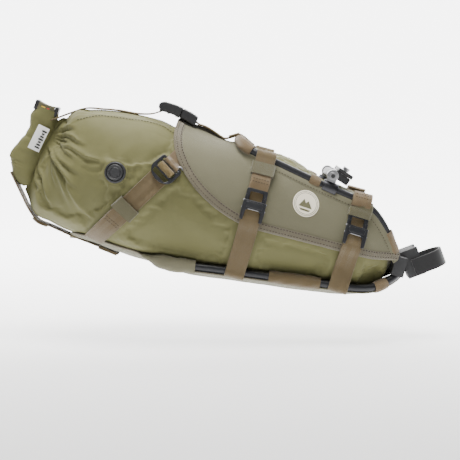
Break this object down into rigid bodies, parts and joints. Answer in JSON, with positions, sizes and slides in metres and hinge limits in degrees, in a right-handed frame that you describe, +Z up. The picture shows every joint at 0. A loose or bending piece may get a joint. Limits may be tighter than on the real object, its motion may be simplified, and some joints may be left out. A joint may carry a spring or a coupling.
{
  "type": "framed bicycle saddle bag",
  "caption": "Framed seat pack: a bent tube harness with canvas panels and hook straps holds a roll-top dry bag behind a bicycle saddle.",
  "frame": {"origin": "centre of the saddle-rail clamp, midway between the two saddle rails", "axes": "+X forward along the bicycle, +Y to the rider's left, +Z up; the pack is stored in its mounted attitude, falling forward by 15 degrees"},
  "size_m": [0.5727, 0.172, 0.2435],
  "materials": {
    "anodised_tube": "dark grey satin anodised tube",
    "rubber": "matt dark grey rubber",
    "silver_metal": "bright silver fasteners and brackets",
    "black_plastic": "matt black moulded plastic",
    "gunmetal": "satin gunmetal hooks",
    "canvas": "grey-olive woven canvas",
    "pale_canvas": "pale grey-olive woven canvas",
    "webbing": "tan-brown 25 mm webbing",
    "coated_nylon": "satin olive coated nylon",
    "black_fabric": "black hook-and-loop webbing"
  },
  "bodies": {
    "harness": {"upper_frame_tube": "anodised_tube", "lower_frame_tube": "anodised_tube", "right_leg_joint": "rubber", "left_leg_joint": "rubber", "post_block": "rubber", "right_rail_bracket": "silver_metal", "left_rail_bracket": "silver_metal", "pivot_bolt": "silver_metal", "pivot_nut": "silver_metal", "buckle_female": "black_plastic", "closure_clip_top": "black_plastic", "closure_clip_bottom": "black_plastic", "valve_base": "black_plastic", "top_cover": "canvas", "right_side_panel": "canvas", "left_side_panel": "canvas", "bottom_panel": "pale_canvas", "right_top_rear_sleeve": "pale_canvas", "left_top_rear_sleeve": "pale_canvas", "right_top_middle_sleeve": "pale_canvas", "left_top_middle_sleeve": "pale_canvas", "right_front_leg_sleeve": "pale_canvas", "left_front_leg_sleeve": "pale_canvas", "right_bottom_middle_sleeve": "pale_canvas", "left_bottom_middle_sleeve": "pale_canvas", "right_bottom_rear_sleeve": "pale_canvas", "left_bottom_rear_sleeve": "pale_canvas", "top_strap_rear": "webbing", "top_strap_front": "webbing", "bottom_strap": "webbing", "right_diagonal_hook": "gunmetal", "left_diagonal_hook": "gunmetal", "dry_bag": "coated_nylon", "rolled_closure": "coated_nylon"},
    "rail_clamp": {"lower_jaw": "black_plastic"},
    "upper_jaw_set": {"upper_jaw": "black_plastic", "jaw_bolt": "silver_metal"},
    "post_band": {"post_strap": "black_fabric"},
    "top_buckle": {"buckle_male": "black_plastic"},
    "valve_knob": {"valve_cap": "black_plastic"},
    "right_middle_hook": {"right_middle_strap_upper": "webbing", "right_middle_hook_frame": "gunmetal"},
    "right_middle_catch": {"right_middle_strap_lower": "webbing", "right_middle_hook_base": "gunmetal"},
    "right_front_hook": {"right_front_strap_upper": "webbing", "right_front_hook_frame": "gunmetal"},
    "right_front_catch": {"right_front_strap_lower": "webbing", "right_front_hook_base": "gunmetal"},
    "right_diagonal": {"right_diagonal_strap": "webbing", "right_diagonal_buckle": "black_plastic"},
    "left_middle_hook": {"left_middle_strap_upper": "webbing", "left_middle_hook_frame": "gunmetal"},
    "left_middle_catch": {"left_middle_strap_lower": "webbing", "left_middle_hook_base": "gunmetal"},
    "left_front_hook": {"left_front_strap_upper": "webbing", "left_front_hook_frame": "gunmetal"},
    "left_front_catch": {"left_front_strap_lower": "webbing", "left_front_hook_base": "gunmetal"},
    "left_diagonal": {"left_diagonal_strap": "webbing", "left_diagonal_buckle": "black_plastic"}
  },
  "joints": [
    {"name": "rail_clamp_pitch", "type": "hinge", "parent": "harness", "child": "rail_clamp", "pos_m": [-0.01701, 0, 0.00104], "axis": [0, 1, 0], "range_deg": [-25, 8]},
    {"name": "rail_jaw_open", "type": "slide", "parent": "rail_clamp", "child": "upper_jaw_set", "axis": [0.5592, 0, 0.829], "range_m": [0, 0.004]},
    {"name": "post_strap_open", "type": "hinge", "parent": "harness", "child": "post_band", "pos_m": [0.10097, 0.0185, -0.11609], "axis": [-0.3518, 0, 0.9361], "range_deg": [0, 100]},
    {"name": "top_buckle_release", "type": "slide", "parent": "harness", "child": "top_buckle", "axis": [-0.9659, 0, 0.2588], "range_m": [0, 0.025]},
    {"name": "valve_twist", "type": "hinge", "parent": "harness", "child": "valve_knob", "pos_m": [-0.28809, -0.07706, 0.00693], "axis": [-0.0211, -0.9959, 0.0883], "range_deg": [0, 90]},
    {"name": "right_middle_catch_swing", "type": "hinge", "parent": "harness", "child": "right_middle_catch", "pos_m": [-0.13996, -0.05055, -0.12052], "axis": [0.9659, 0, -0.2588], "range_deg": [0, 75]},
    {"name": "right_middle_hook_swing", "type": "hinge", "parent": "harness", "child": "right_middle_hook", "pos_m": [-0.10139, -0.0476, 0.02344], "axis": [-0.9659, 0, 0.2588], "range_deg": [0, 25]},
    {"name": "right_front_catch_swing", "type": "hinge", "parent": "harness", "child": "right_front_catch", "pos_m": [-0.00921, -0.05, -0.13869], "axis": [0.9659, 0, -0.2588], "range_deg": [0, 75]},
    {"name": "right_front_hook_swing", "type": "hinge", "parent": "harness", "child": "right_front_hook", "pos_m": [0.01917, -0.048, -0.03278], "axis": [-0.9659, 0, 0.2588], "range_deg": [0, 25]},
    {"name": "right_diagonal_swing", "type": "hinge", "parent": "harness", "child": "right_diagonal", "pos_m": [-0.30772, -0.05527, -0.06923], "axis": [0.6322, 0.3831, -0.6735], "range_deg": [0, 80]},
    {"name": "left_middle_catch_swing", "type": "hinge", "parent": "harness", "child": "left_middle_catch", "pos_m": [-0.13996, 0.05055, -0.12052], "axis": [-0.9659, 0, 0.2588], "range_deg": [0, 75]},
    {"name": "left_middle_hook_swing", "type": "hinge", "parent": "harness", "child": "left_middle_hook", "pos_m": [-0.10139, 0.0476, 0.02344], "axis": [0.9659, 0, -0.2588], "range_deg": [0, 25]},
    {"name": "left_front_catch_swing", "type": "hinge", "parent": "harness", "child": "left_front_catch", "pos_m": [-0.00921, 0.05, -0.13869], "axis": [-0.9659, 0, 0.2588], "range_deg": [0, 75]},
    {"name": "left_front_hook_swing", "type": "hinge", "parent": "harness", "child": "left_front_hook", "pos_m": [0.01917, 0.048, -0.03278], "axis": [0.9659, 0, -0.2588], "range_deg": [0, 25]},
    {"name": "left_diagonal_swing", "type": "hinge", "parent": "harness", "child": "left_diagonal", "pos_m": [-0.30772, 0.05527, -0.06923], "axis": [-0.6322, 0.3831, 0.6735], "range_deg": [0, 80]}
  ],
  "couplings": [
    {"joint": "right_middle_hook_swing", "follows": "right_middle_catch_swing", "ratio": 0.33},
    {"joint": "right_front_hook_swing", "follows": "right_front_catch_swing", "ratio": 0.33},
    {"joint": "left_middle_hook_swing", "follows": "left_middle_catch_swing", "ratio": 0.33},
    {"joint": "left_front_hook_swing", "follows": "left_front_catch_swing", "ratio": 0.33}
  ]
}
